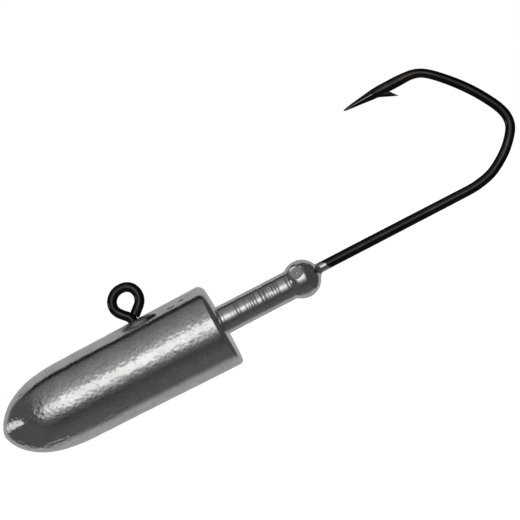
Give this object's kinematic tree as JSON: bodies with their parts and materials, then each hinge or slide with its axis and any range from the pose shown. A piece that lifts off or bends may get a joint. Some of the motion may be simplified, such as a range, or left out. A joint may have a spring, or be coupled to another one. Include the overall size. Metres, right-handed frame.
{
  "type": "jig head",
  "caption": "Heavy bullet-nosed sea jig head: lead casting with ringed bait collar and keeper ball, poured round a barbed 90-degree jig hook with a ring eye.",
  "frame": {"origin": "centre of the line eye, the hole of the hook's ring eye that the line or split ring passes through", "axes": "+Z towards the eye and the hook point's side, away from the shank; +X along the shank from the nose towards the hook bend; the hook lies in the XZ plane"},
  "size_m": [0.1496, 0.0222, 0.046],
  "materials": {
    "black_nickel_wire": "gloss",
    "plated_lead": "satin"
  },
  "bodies": {
    "root": {"jig_hook": "black_nickel_wire", "lead_head": "plated_lead"}
  },
  "joints": []
}
